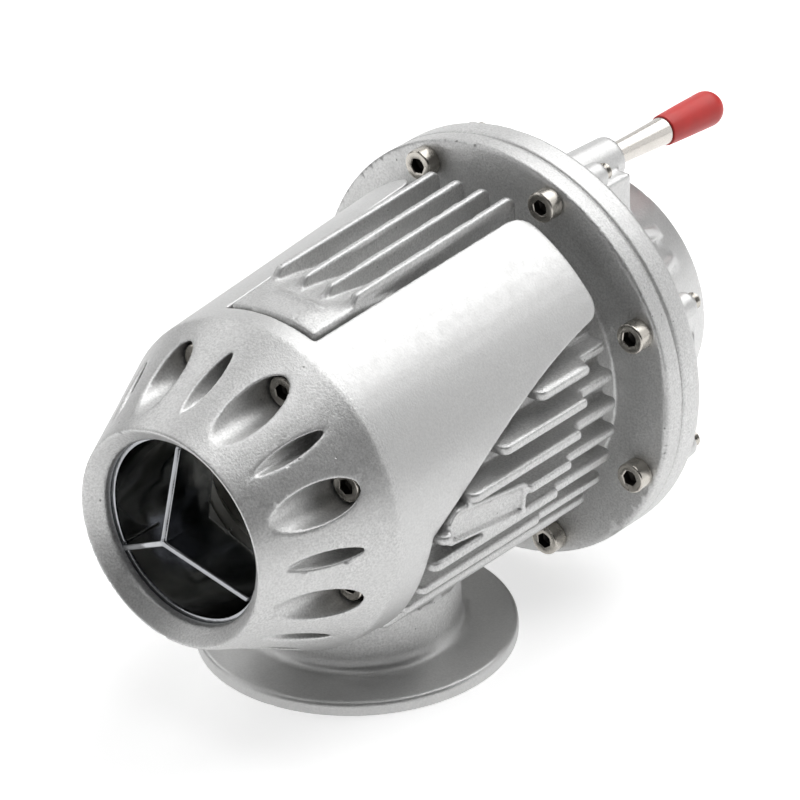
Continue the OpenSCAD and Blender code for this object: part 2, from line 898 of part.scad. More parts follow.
// Screws

module housing_screws() {
    color("gainsboro")
        on_axis()
            around(pocket_count, housing_circle, 180 / pocket_count)
                socket_screw(head_seat_y, joint_y + housing_grip);
}

module flange_screws() {
    color("gainsboro")
        on_axis()
            around_rim()
                socket_screw(rim_front, cover_rear + boss_h + screw_proud);
}

// Nipple and cap

module hose_nipple() {
    color("whitesmoke")
        at_nipple()
            rotate_extrude()
                polygon([
                    [nipple_bore / 2, press_front], [nipple_root_d / 2, press_front],
                    [nipple_root_d / 2, boss_rear], [nipple_flare_d / 2, flare_end],
                    [nipple_d / 2, flare_end], [nipple_d / 2, hose_end],
                    [nipple_bore / 2, hose_end]]);
}

module nipple_cap() {
    inside = nipple_d / 2 + running;
    open_y = flare_end + running;
    crown = cap_d / 2;
    color("crimson")
        at_nipple()
            difference() {
                rotate_extrude()
                    intersection() {
                        union() {
                            polygon([[0, open_y], [inside + cap_wall, open_y],
                                [crown, cap_rear - crown], [0, cap_rear - crown]]);
                            translate([0, cap_rear - crown])
                                circle(crown);
                        }
                        translate([0, open_y])
                            square([far, far]);
                    }
                rod(inside, open_y - over, hose_end + running);
            }
}

// Valves

module secondary_valve() {
    color("darkgray")
        on_axis()
            difference() {
                union() {
                    rod(large_disc_d / 2, large_front, large_rear);
                    rod(hub_r, hub_front, large_rear);
                }
                rod(shaft_d / 2 + running, hub_front - over, large_rear + over);
                rod(well_r, large_rear - spring_well, large_rear + over);
                sleeve(large_seal_out + seating, large_seal_in - seating,
                    large_front - over, seal_front + seal_t + seating);
                around(port_count, port_circle)
                    rod(port_d / 2, large_front - over, large_rear + over);
            }
}

module secondary_seal() {
    color("#222222")
        on_axis()
            sleeve(large_seal_out, large_seal_in, seal_front, seal_front + seal_t);
}

module primary_valve() {
    color("darkgray")
        on_axis()
            difference() {
                rod(small_disc_d / 2, small_front, small_rear);
                rod(shaft_d / 2 + seating, small_front - over, small_rear + over);
                sleeve(small_seal_out + seating, small_seal_in - seating,
                    small_front - over, small_seal_front + seal_t + seating);
            }
}

module primary_seal() {
    color("#222222")
        on_axis()
            sleeve(small_seal_out, small_seal_in, small_seal_front, small_seal_front + seal_t);
}

module pilot_spring() {
    color("silver")
        on_axis()
            coil(pilot_spring_d, pilot_wire, pilot_turns,
                large_rear - spring_well + running, small_front - running);
}

// Shaft and diaphragm

module valve_shaft() {
    color("silver")
        on_axis() {
            rod(shaft_d / 2, collar_front, plate_seat);
            rod(stud_d / 2, plate_seat - over, stud_rear);
        }
}

module shaft_collar() {
    color("dimgray")
        on_axis()
            sleeve(collar_d / 2, shaft_d / 2 + seating, collar_front, collar_rear);
}

module guide_bush() {
    color("peru")
        on_axis()
            sleeve(bush_d / 2, shaft_d / 2 + running, chamber_rear, chamber_rear + bush_len);
}

module shaft_seal() {
    color("#222222")
        on_axis()
            sleeve(bush_d / 2, shaft_d / 2 + running, chamber_rear + bush_len,
                chamber_rear + bush_len + ring_t);
}

// The sheet's middle, its clamped rim and the half-round fold between them
module sheet_shape() {
    fold_gap = 0.8;
    fold_in = plate_d / 2 + fold_gap;
    fold_out = cavity_r - fold_gap;
    fold_mid = (fold_in + fold_out) / 2;
    fold_r = (fold_out - fold_in) / 2;
    steps = 16;
    outer = [for (i = [0 : steps]) let (a = 180 - i * 180 / steps)
        [fold_mid + fold_r * cos(a), fold_h * sin(a) + sheet_mid + dish * i / steps]];
    inner = [for (i = [steps : -1 : 0]) let (a = 180 - i * 180 / steps)
        [fold_mid + (fold_r - sheet_t) * cos(a),
            (fold_h - sheet_t) * sin(a) + sheet_mid + dish * i / steps]];
    lift = [0, sheet_t];
    polygon(concat(
        [[stud_d / 2 + seating, sheet_mid], [stud_d / 2 + seating, plate_rear]],
        [for (p = outer) p + lift],
        [[clamp_r - seating, rim_rear + sheet_t], [clamp_r - seating, rim_rear]],
        inner));
}

module diaphragm() {
    color("#303030")
        on_axis()
            difference() {
                rotate_extrude()
                    sheet_shape();
                around_rim()
                    rod(screw_d / 2 + hole_clearance, rim_rear - over, rim_rear + sheet_t + over);
            }
}

module front_plate() {
    color("silver")
        on_axis()
            sleeve(plate_d / 2, stud_d / 2 + seating, plate_seat, sheet_mid);
}

module rear_plate() {
    color("silver")
        on_axis() {
            sleeve(plate_d / 2, stud_d / 2 + seating, plate_rear, washer_front);
            sleeve(plate_d / 2, plate_d / 2 - plate_t, plate_rear, washer_front + plate_edge);
        }
}

module shaft_washer() {
    color("silver")
        on_axis()
            sleeve(washer_d / 2, stud_d / 2 + seating, washer_front, nut_front);
}

module shaft_nut() {
    color("silver")
        on_axis()
            difference() {
                translate([0, 0, nut_front])
                    cylinder(d = nut_w / cos(30), h = nut_h, $fn = 6);
                rod(stud_d / 2 + seating, nut_front - over, nut_rear + over);
            }
}

module main_spring() {
    color("silver")
        on_axis()
            coil(main_spring_d, main_wire, main_turns, washer_front + running, drum_inside - running);
}

front_housing();
main_body();
rear_cover();
discharge_insert();
housing_screws();
flange_screws();
hose_nipple();
nipple_cap();
seat_ring();
seat_seal();
secondary_valve();
secondary_seal();
primary_valve();
primary_seal();
pilot_spring();
valve_shaft();
shaft_collar();
guide_bush();
shaft_seal();
diaphragm();
front_plate();
rear_plate();
shaft_washer();
shaft_nut();
main_spring();
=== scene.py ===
import math

import bpy
import numpy as np
import openvdb
from mathutils import Matrix, Vector


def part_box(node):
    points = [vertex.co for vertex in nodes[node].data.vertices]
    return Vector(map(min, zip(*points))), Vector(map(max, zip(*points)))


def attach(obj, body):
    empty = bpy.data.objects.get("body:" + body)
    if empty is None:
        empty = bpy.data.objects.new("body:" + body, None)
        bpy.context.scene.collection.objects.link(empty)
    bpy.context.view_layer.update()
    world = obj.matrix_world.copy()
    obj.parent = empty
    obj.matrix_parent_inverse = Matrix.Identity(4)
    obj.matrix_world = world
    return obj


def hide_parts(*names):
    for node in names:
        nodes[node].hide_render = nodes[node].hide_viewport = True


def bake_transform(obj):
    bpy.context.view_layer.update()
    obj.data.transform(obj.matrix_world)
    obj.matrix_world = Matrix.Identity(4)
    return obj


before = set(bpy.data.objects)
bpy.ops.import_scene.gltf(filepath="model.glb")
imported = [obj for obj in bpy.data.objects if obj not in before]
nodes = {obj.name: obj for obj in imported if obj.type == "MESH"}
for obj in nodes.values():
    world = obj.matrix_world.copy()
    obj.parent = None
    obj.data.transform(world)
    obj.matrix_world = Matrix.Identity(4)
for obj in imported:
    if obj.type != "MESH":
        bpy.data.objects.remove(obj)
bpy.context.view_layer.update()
MM = 0.001

# Sizes are in millimetres, as in the part's source. The valve axis lies along Y at this height.
AXIS_Z = 39.3

# Socket screws: two rings along the valve axis. Each screw is spun a little past the one before it.
SCREW_R, SCREW_HEAD_R, SCREW_HEAD_H, SOCKET_W = 1.5, 2.75, 3.0, 2.5
THREAD_PITCH, THREAD_DEPTH, THREAD_TURNS = 0.5, 0.22, 8
SCREW_AROUND, SOCKET_RINGS, SCREW_SPIN = 48, 5, 23
NOSE_SCREWS = {"count": 8, "circle": 48.6, "seat": -24.2, "tip": -14.0}
RIM_SCREWS = {"count": 8, "circle": 70.4, "seat": 37.9, "tip": 53.45}

# Nipple and cap: radii, and places along the nipple as if it ran straight to the rear
NIPPLE_ANGLE, NIPPLE_R, NIPPLE_SPLAY, NIPPLE_PIVOT = 77.0, 31.0, 2.7, 46.85
BORE_R, ROOT_R, FLARE_R, TUBE_R = 1.2, 2.0, 2.5, 2.3
PRESS_FRONT, BOSS_REAR, FLARE_END, TUBE_END = 54.65, 61.65, 75.95, 85.95
CAP_BORE_R, CAP_MOUTH_R, CAP_R = 2.35, 2.8, 3.25
CAP_FRONT, CAP_BOTTOM, CAP_REAR = 76.0, 86.0, 90.95
TUBE_AROUND = 72

# Skins of CAD nodes: voxel size, softness of the edges, and how freely flat faces are merged
HOUSING_SKIN = (0.25, 0.24, 0.06)
BODY_SKIN = (0.28, 0.28, 0.13)
COVER_SKIN = (0.3, 0.3, 0.08)
INSERT_SKIN = (0.15, 0.12, 0.03)
SPRING_SKIN = (0.2, 0.1, 0.1)
PILOT_SKIN = (0.12, 0.06, 0.1)
SHEET_SKIN = (0.2, 0.1, 0.1)

# Their distance fields: reach on each side of the surface, margin and step for slopes, in voxels,
# and the blur's reach in sigmas
FIELD_REACH, FIELD_MARGIN, SLOPE_STEP, BLUR_REACH = 5.0, 4, 0.7, 2.5

# Broken edges of the small metal nodes, with the angle in degrees from which an edge counts
EDGE_WIDTH, EDGE_SEGMENTS, EDGE_ANGLE = 0.15, 2, 40

# Camera fitted to the photo: angles in degrees, and the lens in pixels of the photo
CAMERA_TURN, CAMERA_TILT, CAMERA_ROLL = 40.74, 28.55, -1.6
CAMERA_AIM, CAMERA_DISTANCE = (11.22, 0, 49.25), 842.5
LENS_PIXELS, PHOTO_PIXELS, SENSOR_WIDTH, CLIP_END = 5046, 800, 36.0, 50.0

# Stage and light: places and sizes in metres, power in watts
FLOOR_SIZE, FLOOR_GREY, FLOOR_GLOW, WORLD_LEVEL = 6.0, 0.82, 0.6, 0.04
LAMPS = (
    ("top", (0.12, 0.0, 0.9), (0.8, 0.6), 2.8),
    ("top_rear", (0.05, 0.52, 0.7), (0.9, 0.55), 3.7),
    ("top_left", (-0.65, 0.0, 0.6), (0.5, 0.5), 1.3),
    ("left_front", (-0.6, -0.55, 0.3), (0.5, 0.5), 0.9),
    ("left_rear", (-0.6, 0.55, 0.3), (0.5, 0.5), 0.7),
    ("right_rear", (0.6, 0.6, 0.3), (0.5, 0.5), 0.8),
)


# Materials

def empty_material(name):
    mat = bpy.data.materials.new(name)
    mat.use_nodes = True
    mat.node_tree.nodes.clear()
    return mat, mat.node_tree


class Look:
    """A material with a Principled shader and short ways to add nodes to it."""

    def __init__(self, name, metallic):
        self.mat, self.tree = empty_material(name)
        out = self.tree.nodes.new("ShaderNodeOutputMaterial")
        self.bsdf = self.tree.nodes.new("ShaderNodeBsdfPrincipled")
        self.bsdf.inputs["Metallic"].default_value = metallic
        self.link(self.bsdf.outputs[0], out.inputs[0])
        self.coords = self.tree.nodes.new("ShaderNodeTexCoord").outputs["Object"]

    def link(self, source, target):
        self.tree.links.new(source, target)

    def noise(self, size_mm, detail, rough=0.55, stretch=None):
        n = self.tree.nodes.new("ShaderNodeTexNoise")
        n.inputs["Scale"].default_value = 1.0 / (size_mm * MM)
        n.inputs["Detail"].default_value = detail
        n.inputs["Roughness"].default_value = rough
        self.link(self.stretched(stretch), n.inputs["Vector"])
        return n.outputs[0]

    def cells(self, size_mm):
        n = self.tree.nodes.new("ShaderNodeTexVoronoi")
        n.inputs["Scale"].default_value = 1.0 / (size_mm * MM)
        self.link(self.coords, n.inputs["Vector"])
        return n.outputs["Distance"]

    def stretched(self, stretch):
        if stretch is None:
            return self.coords
        n = self.tree.nodes.new("ShaderNodeMapping")
        n.inputs["Scale"].default_value = stretch
        self.link(self.coords, n.inputs["Vector"])
        return n.outputs[0]

    def along(self, axis):
        n = self.tree.nodes.new("ShaderNodeSeparateXYZ")
        self.link(self.coords, n.inputs[0])
        return n.outputs["XYZ".index(axis)]

    def remap(self, source, old, new, smooth=False):
        """Takes values from one range to another and keeps them inside it."""
        n = self.tree.nodes.new("ShaderNodeMapRange")
        if smooth:
            n.interpolation_type = "SMOOTHSTEP"
        for name, value in zip(("From Min", "From Max", "To Min", "To Max"), (*old, *new)):
            n.inputs[name].default_value = value
        self.link(source, n.inputs["Value"])
        return n.outputs[0]

    def combine(self, kind, a, b):
        n = self.tree.nodes.new("ShaderNodeMath")
        n.operation = kind
        for socket, value in zip(n.inputs, (a, b)):
            if isinstance(value, float):
                socket.default_value = value
            else:
                self.link(value, socket)
        return n.outputs[0]

    def mix(self, factor, a, b):
        """Mixes two colours. A Mix node has a set of sockets for each kind of value."""
        first, second, result = 6, 7, 2
        n = self.tree.nodes.new("ShaderNodeMix")
        n.data_type = "RGBA"
        self.link(factor, n.inputs["Factor"])
        for socket, value in zip((n.inputs[first], n.inputs[second]), (a, b)):
            if isinstance(value, tuple):
                socket.default_value = (*value, 1.0)
            else:
                self.link(value, socket)
        return n.outputs[result]

    def bump(self, height, depth_mm, strength, under=None):
        n = self.tree.nodes.new("ShaderNodeBump")
        n.inputs["Strength"].default_value = strength
        n.inputs["Distance"].default_value = depth_mm * MM
        self.link(height, n.inputs["Height"])
        if under is not None:
            self.link(under, n.inputs["Normal"])
        return n.outputs[0]

    def finish(self, color, roughness, normal):
        self.link(color, self.bsdf.inputs["Base Color"])
        self.link(roughness, self.bsdf.inputs["Roughness"])
        self.link(normal, self.bsdf.inputs["Normal"])
        return self.mat


def dimmed(color, share):
    return tuple(c * share for c in color)


def cast_metal(name, color, rough, grain, zone, smooth):
    """Blasted casting with sparkling grain and a few pits. Along the zone's axis, from its first
    place to its second in millimetres, the grain fades to the share smooth and the pits end."""
    look = Look(name, 0.75)
    axis, first, second = zone
    share = look.remap(look.along(axis), (first * MM, second * MM), (1.0, smooth), True)
    fine = look.noise(0.38, 3.0, 0.6)
    middle = look.noise(1.6, 3.0, 0.5)
    slow = look.noise(9.0, 4.0, 0.6)
    speck = look.combine("MULTIPLY", look.combine("SUBTRACT", fine, 0.5), share)
    pits = look.remap(look.cells(2.6), (0.03, 0.09), (0.0, 1.0), True)
    plain = look.remap(look.noise(5.0, 1.0), (0.54, 0.58), (1.0, 0.0))
    plain = look.combine("MAXIMUM", plain, look.remap(share, (smooth, 1.0), (1.0, 0.0)))
    pits = look.combine("MAXIMUM", pits, plain)
    sparkle = look.remap(speck, (-0.15, 0.15), (0.0, 1.0))
    tone = look.mix(sparkle, dimmed(color, 0.8), dimmed(color, 1.12))
    cloud = look.remap(slow, (0.35, 0.65), (0.5, 1.0))
    tone = look.mix(cloud, dimmed(color, 0.93), tone)
    tone = look.mix(pits, dimmed(color, 0.5), tone)
    gloss = look.remap(middle, (0.3, 0.7), (rough - 0.04, rough + 0.05))
    normal = look.bump(slow, 0.1, 0.5)
    normal = look.bump(speck, grain, 0.8, normal)
    normal = look.bump(pits, 0.1, 0.8, normal)
    return look.finish(tone, gloss, normal)


def plated(name, color, rough, wave=0.005):
    """Bright metal with slight smears, fine scratches and a skin that waves by so many
    millimetres."""
    look = Look(name, 1.0)
    smear = look.noise(2.4, 4.0, 0.6)
    fine = look.noise(0.25, 2.0, 0.5)
    slow = look.noise(8.0, 1.0, 0.4)
    tone = look.mix(look.remap(smear, (0.3, 0.7), (0.0, 1.0)), dimmed(color, 0.86), color)
    gloss = look.remap(smear, (0.3, 0.7), (rough * 0.75, rough * 1.35))
    normal = look.bump(slow, wave, 1.0)
    return look.finish(tone, gloss, look.bump(fine, 0.004, 0.5, normal))


def turned(name, color, rough):
    """Lathe-turned metal: fine rings about the valve axis."""
    look = Look(name, 1.0)
    rings = look.noise(0.5, 2.0, 0.5, (0.12, 1.0, 0.12))
    smear = look.noise(3.0, 3.0, 0.6)
    tone = look.mix(look.remap(smear, (0.3, 0.7), (0.0, 1.0)), dimmed(color, 0.88), color)
    gloss = look.remap(rings, (0.3, 0.7), (rough * 0.8, rough * 1.3))
    return look.finish(tone, gloss, look.bump(rings, 0.01, 0.5))


def rubber(name, color, rough, grain=0.015):
    """Moulded rubber, a little uneven in tone and gloss."""
    look = Look(name, 0.0)
    fine = look.noise(0.2, 3.0, 0.6)
    slow = look.noise(3.5, 3.0, 0.5)
    tone = look.mix(look.remap(slow, (0.35, 0.65), (0.0, 1.0)), dimmed(color, 0.9), color)
    gloss = look.remap(slow, (0.3, 0.7), (rough - 0.06, rough + 0.08))
    return look.finish(tone, gloss, look.bump(fine, grain, 0.5))


ALLOY = (0.74, 0.74, 0.735)
HOUSING = cast_metal("housing_casting", ALLOY, 0.46, 0.08, ("Y", -24.0, -20.0), 0.4)
BODY = cast_metal("body_casting", (0.7, 0.7, 0.695), 0.42, 0.11, ("Z", 8.0, 4.0), 0.35)
COVER = cast_metal("cover_casting", ALLOY, 0.44, 0.05, ("Y", 44.0, 48.0), 0.5)
DARK_CHROME = plated("dark_chrome", (0.42, 0.43, 0.45), 0.12, 0.35)
SCREW = plated("screw_steel", (0.6, 0.57, 0.52), 0.26)
# Near-black colour for the screw sockets: painted shade of the recess, not the screws' own colour.
SOCKET_PAINTED_SHADE = plated("socket_painted_shade", (0.06, 0.055, 0.05), 0.5)
CHROME = plated("bright_chrome", (0.68, 0.65, 0.61), 0.24)
RED = rubber("red_rubber", (0.74, 0.05, 0.045), 0.4)
SEAT = turned("seat_alloy", (0.62, 0.6, 0.52), 0.3)
BLACK = rubber("black_rubber", (0.03, 0.03, 0.03), 0.6)
VALVE = turned("valve_alloy", (0.6, 0.61, 0.62), 0.28)
SPRING = plated("spring_steel", (0.5, 0.5, 0.52), 0.25)
SHAFT = turned("shaft_steel", (0.6, 0.6, 0.62), 0.16)
BRONZE = plated("bush_bronze", (0.6, 0.42, 0.22), 0.4)
SHEET = rubber("diaphragm_rubber", (0.05, 0.05, 0.055), 0.7, 0.05)
ZINC = plated("plated_steel", (0.64, 0.64, 0.62), 0.32)

LOOKS = {
    "front_housing": HOUSING, "main_body": BODY, "rear_cover": COVER,
    "discharge_insert": DARK_CHROME, "housing_screws": SCREW, "flange_screws": SCREW,
    "hose_nipple": CHROME, "nipple_cap": RED, "seat_ring": SEAT, "seat_seal": BLACK,
    "secondary_valve": VALVE, "secondary_seal": BLACK, "primary_valve": VALVE,
    "primary_seal": BLACK, "pilot_spring": SPRING, "valve_shaft": SHAFT, "shaft_collar": SHAFT,
    "guide_bush": BRONZE, "shaft_seal": BLACK, "diaphragm": SHEET, "front_plate": ZINC,
    "rear_plate": ZINC, "shaft_washer": ZINC, "shaft_nut": ZINC, "main_spring": SPRING,
}
for name, material in LOOKS.items():
    mesh = nodes[name].data
    mesh.materials.clear()
    mesh.materials.append(material)


# Meshes

def mesh_of(name, points, quads, triangles=()):
    """A smooth-shaded mesh from points in millimetres and arrays of faces."""
    mesh = bpy.data.meshes.new(name)
    sizes = np.array([4] * len(quads) + [3] * len(triangles), np.int32)
    corners = np.concatenate([np.ravel(quads), np.ravel(triangles)]).astype(np.int32)
    mesh.vertices.add(len(points))
    mesh.vertices.foreach_set("co", np.ravel(points).astype(np.float32) * MM)
    mesh.loops.add(len(corners))
    mesh.loops.foreach_set("vertex_index", corners)
    mesh.polygons.add(len(sizes))
    mesh.polygons.foreach_set("loop_start", np.cumsum(sizes, dtype=np.int32) - sizes)
    mesh.update(calc_edges=True)
    mesh.validate()
    mesh.shade_smooth()
    return mesh


def linked(name, data):
    obj = bpy.data.objects.new(name, data)
    bpy.context.scene.collection.objects.link(obj)
    return obj


def placed(mesh, node, body):
    """Puts a mesh into the scene in place of a CAD node. The body is a name, to which the mesh is
    attached, or what bend gives, which is not used: the mesh then stays where it is.
    """
    obj = linked(mesh.name, mesh)
    mesh.materials.append(LOOKS[node])
    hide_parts(node)
    if isinstance(body, str):
        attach(obj, body)
    else:
        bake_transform(obj)
    return obj


def bend(first_body, second_body, start, end):
    """Two bodies, and two places along the valve axis in metres, for a piece that lies between
    them. placed does not use them, and nothing bends the piece."""
    return first_body, second_body, (0, start, AXIS_Z * MM), (0, end, AXIS_Z * MM)


# Skins: CAD solids as distance fields, blurred so that edges and corners come out soft

def distance_field(mesh, voxel):
    """Signed distance to a closed mesh on a grid, in millimetres, and the grid's first place."""
    mesh.calc_loop_triangles()
    points = np.empty(3 * len(mesh.vertices), np.float32)
    mesh.vertices.foreach_get("co", points)
    corners = np.empty(3 * len(mesh.loop_triangles), np.int32)
    mesh.loop_triangles.foreach_get("vertices", corners)
    grid = openvdb.FloatGrid.createLevelSetFromPolygons(
        points.reshape(-1, 3) / MM, triangles=corners.reshape(-1, 3).astype(np.uint32),
        transform=openvdb.createLinearTransform(voxelSize=voxel), halfWidth=FIELD_REACH)
    low, high = grid.evalActiveVoxelBoundingBox()
    low, high = np.array(low) - FIELD_MARGIN, np.array(high) + FIELD_MARGIN + 1
    values = np.empty(high - low, np.float32)
    grid.copyToArray(values, ijk=tuple(int(v) for v in low))
    return values, low


def blurred(values, sigma):
    """The values after a Gaussian blur, with sigma in voxels."""
    reach = math.ceil(BLUR_REACH * sigma)
    steps = np.arange(-reach, reach + 1)
    weights = np.exp(-0.5 * (steps / sigma) ** 2)
    weights /= weights.sum()
    for axis in range(3):
        total = np.zeros_like(values)
        for step, weight in zip(steps, weights):
            total += np.float32(weight) * np.roll(values, step, axis)
        values = total
    return values


def sampled(values, places):
    """The field's value at places given in grid steps, by linear interpolation."""
    places = np.clip(places, 0, np.array(values.shape) - 1.001)
    cell = places.astype(np.int32)
    part = places - cell
    total = np.zeros(len(places))
    for corner in np.ndindex(2, 2, 2):
        weight = np.prod(np.where(corner, part, 1 - part), axis=1)
        total += weight * values[tuple((cell + corner).T)]
    return total


def slopes(values, places):
    """Unit directions in which the field grows fastest."""
    steps = SLOPE_STEP * np.eye(3)
    rises = [sampled(values, places + step) - sampled(values, places - step) for step in steps]
    normals = np.stack(rises, axis=1)
    return normals / np.linalg.norm(normals, axis=1, keepdims=True)


def skin(name, node, voxel, soft, adapt, cut=None):
    """A CAD node's skin with edges rounded by about soft millimetres. With cut, a function of
    places in millimetres, only the part where it is below zero is kept."""
    values, low = distance_field(nodes[node].data, voxel)
    values = blurred(values, soft / voxel)
    if cut is not None:
        places = (np.indices(values.shape, np.float32) + low.reshape(3, 1, 1, 1)) * voxel
        values = np.maximum(values, cut(*places)).astype(np.float32)
    grid = openvdb.FloatGrid(FIELD_REACH * voxel)
    grid.transform = openvdb.createLinearTransform(voxelSize=voxel)
    grid.copyFromArray(values, ijk=tuple(int(v) for v in low))
    points, triangles, quads = grid.convertToPolygons(isovalue=0.0, adaptivity=adapt)
    mesh = mesh_of(name, points, quads, triangles)
    mesh.normals_split_custom_set_from_vertices(slopes(values, points / voxel - low))
    return mesh


def casting(node, form):
    placed(skin(node + "_cast", node, *form), node, "housing")


casting("front_housing", HOUSING_SKIN)
casting("main_body", BODY_SKIN)
casting("rear_cover", COVER_SKIN)
casting("discharge_insert", INSERT_SKIN)


# Springs and diaphragm: the main spring has two halves, and the diaphragm a middle and a fold.
# Only the diaphragm's middle is attached to a piece, the stem. The other skins stay where they
# are and follow no piece.

def main_spring():
    (_, front, _), (_, rear, _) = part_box("main_spring")
    middle = (front + rear) / 2

    def behind(x, y, z):
        return y - middle / MM

    def ahead(x, y, z):
        return middle / MM - y

    mesh = skin("main_spring_front", "main_spring", *SPRING_SKIN, behind)
    placed(mesh, "main_spring", bend("large_valve", "stem", middle, front))
    mesh = skin("main_spring_rear", "main_spring", *SPRING_SKIN, ahead)
    placed(mesh, "main_spring", bend("housing", "large_valve", rear, middle))


def pilot_spring():
    (_, front, _), (_, rear, _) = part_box("pilot_spring")
    mesh = skin("pilot_spring_wound", "pilot_spring", *PILOT_SKIN)
    placed(mesh, "pilot_spring", bend("large_valve", "stem", front, rear))


def diaphragm():
    (plate_low, _, _), (plate_high, _, _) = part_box("front_plate")
    plate_r = (plate_high - plate_low) / 2 / MM
    (_, front, _), (_, rear, _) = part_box("diaphragm")

    def outside(x, y, z):
        return np.hypot(x, z - AXIS_Z) - plate_r

    def inside(x, y, z):
        return plate_r - np.hypot(x, z - AXIS_Z)

    mesh = skin("diaphragm_middle", "diaphragm", *SHEET_SKIN, outside)
    placed(mesh, "diaphragm", "stem")
    mesh = skin("diaphragm_fold", "diaphragm", *SHEET_SKIN, inside)
    across = bend("housing", "large_valve", rear, front)
    placed(mesh, "diaphragm", across)


main_spring()
pilot_spring()
diaphragm()


# Turned pieces

def lathe(rings, around):
    """Points and quads of a turned body. Each ring is a radius, or an array of radii, and a
    height."""
    turn = np.linspace(0, 2 * np.pi, around, endpoint=False)
    points = []
    for r, z in rings:
        points.append(np.stack([r * np.cos(turn), r * np.sin(turn), np.full(around, z)], axis=1))
    quads = []
    for i in range(len(rings) - 1):
        here = np.arange(around) + i * around
        there = np.roll(here, -1)
        quads.append(np.stack([here, there, there + around, here + around], axis=1))
    return np.concatenate(points), np.concatenate(quads)


def arc(r, z, radius, start, end, steps=6):
    """Points of a rounded edge about a centre, from one angle to another in degrees."""
    turn = np.radians(np.linspace(start, end, steps + 1))
    return [(r + radius * math.cos(t), z + radius * math.sin(t)) for t in turn]


def moved(points, origin, x_axis, y_axis, z_axis):
    """Local points in the part's frame, for a local origin and axes given there."""
    return np.array(origin) + points @ np.array([x_axis, y_axis, z_axis])


def around_axis(angle):
    """Directions outwards and sideways at an angle about the valve axis, in radians."""
    out = np.array((math.cos(angle), 0, math.sin(angle)))
    aside = np.array((math.sin(angle), 0, -math.cos(angle)))
    return out, aside


def socket_screw(seat, tip):
    """A socket screw along local z: hexagon socket, head ahead of the seat, shank, thread and
    rounded end. The first rings are the socket's."""
    turn = np.linspace(0, 2 * np.pi, SCREW_AROUND, endpoint=False)
    hexagon = SOCKET_W / 2 / np.cos(turn % (np.pi / 3) - np.pi / 6)
    corner = SOCKET_W / 2 / math.cos(math.pi / 6)
    top = seat - SCREW_HEAD_H
    bottom = top + SCREW_HEAD_H / 2
    edge, mouth, end = 0.35, 0.12, 0.5
    rings = [
        (0.0, bottom + 0.25), (0.6 * hexagon, bottom + 0.1), (0.98 * hexagon, bottom),
        (hexagon, bottom - 0.04), (hexagon, top + 2.2 * mouth),
        (hexagon + 0.25 * mouth, top + mouth), (corner + mouth, top + 0.02),
        (SCREW_HEAD_R - 1.6 * edge, top),
    ]
    rings += arc(SCREW_HEAD_R - edge, top + edge, edge, -90, 0)
    rings += [
        (SCREW_HEAD_R, seat - 0.2), (SCREW_HEAD_R - 0.12, seat - 0.02),
        (SCREW_HEAD_R - 0.3, seat), (SCREW_R + 0.1, seat), (SCREW_R, seat + 0.1),
    ]
    start = tip - end - 0.05 - THREAD_TURNS * THREAD_PITCH
    root = SCREW_R - THREAD_DEPTH
    for i in range(THREAD_TURNS):
        z = start + i * THREAD_PITCH
        rings += [
            (SCREW_R, z), (SCREW_R, z + 0.14 * THREAD_PITCH),
            (root, z + 0.5 * THREAD_PITCH), (root, z + 0.62 * THREAD_PITCH),
        ]
    rings += [
        (SCREW_R, tip - end), (SCREW_R - 0.06, tip - 0.36), (SCREW_R - 0.3, tip - 0.14),
        (SCREW_R - 0.7, tip - 0.03), (0.0, tip),
    ]
    return lathe(rings, SCREW_AROUND)


def screw_set(node, place):
    """All screws of a ring as one mesh, with painted shade in the sockets."""
    screw, faces = socket_screw(place["seat"], place["tip"])
    points, quads = [], []
    for i in range(place["count"]):
        out, aside = around_axis(math.radians(360 / place["count"] * (i + 0.5)))
        centre = np.array((0, 0, AXIS_Z)) + place["circle"] / 2 * out
        spin = math.radians(SCREW_SPIN * i)
        x_axis = math.cos(spin) * out + math.sin(spin) * aside
        y_axis = math.cos(spin) * aside - math.sin(spin) * out
        points.append(moved(screw, centre, x_axis, y_axis, (0, 1, 0)))
        quads.append(faces + i * len(screw))
    mesh = mesh_of(node + "_turned", np.concatenate(points), np.concatenate(quads)[:, ::-1])
    obj = placed(mesh, node, "housing")
    # The socket's faces take the near-black material, painted shade of the recess.
    mesh.materials.append(SOCKET_PAINTED_SHADE)
    painted_shade_faces = np.arange(len(faces)) < SOCKET_RINGS * SCREW_AROUND
    painted_shade_index = np.tile(painted_shade_faces, place["count"]).astype(np.int32)
    mesh.polygons.foreach_set("material_index", painted_shade_index)
    obj.modifiers.new("flat faces", "WEIGHTED_NORMAL")


screw_set("housing_screws", NOSE_SCREWS)
screw_set("flange_screws", RIM_SCREWS)


def at_nipple(points):
    """Places local points, whose z is a place along the nipple, on the splayed nipple."""
    out, aside = around_axis(math.radians(NIPPLE_ANGLE))
    splay = math.radians(NIPPLE_SPLAY)
    along = math.cos(splay) * np.array((0, 1, 0)) + math.sin(splay) * aside
    pivot = np.array((0, NIPPLE_PIVOT, AXIS_Z)) + NIPPLE_R * out
    return moved(points - (0, 0, NIPPLE_PIVOT), pivot, out, np.cross(along, out), along)


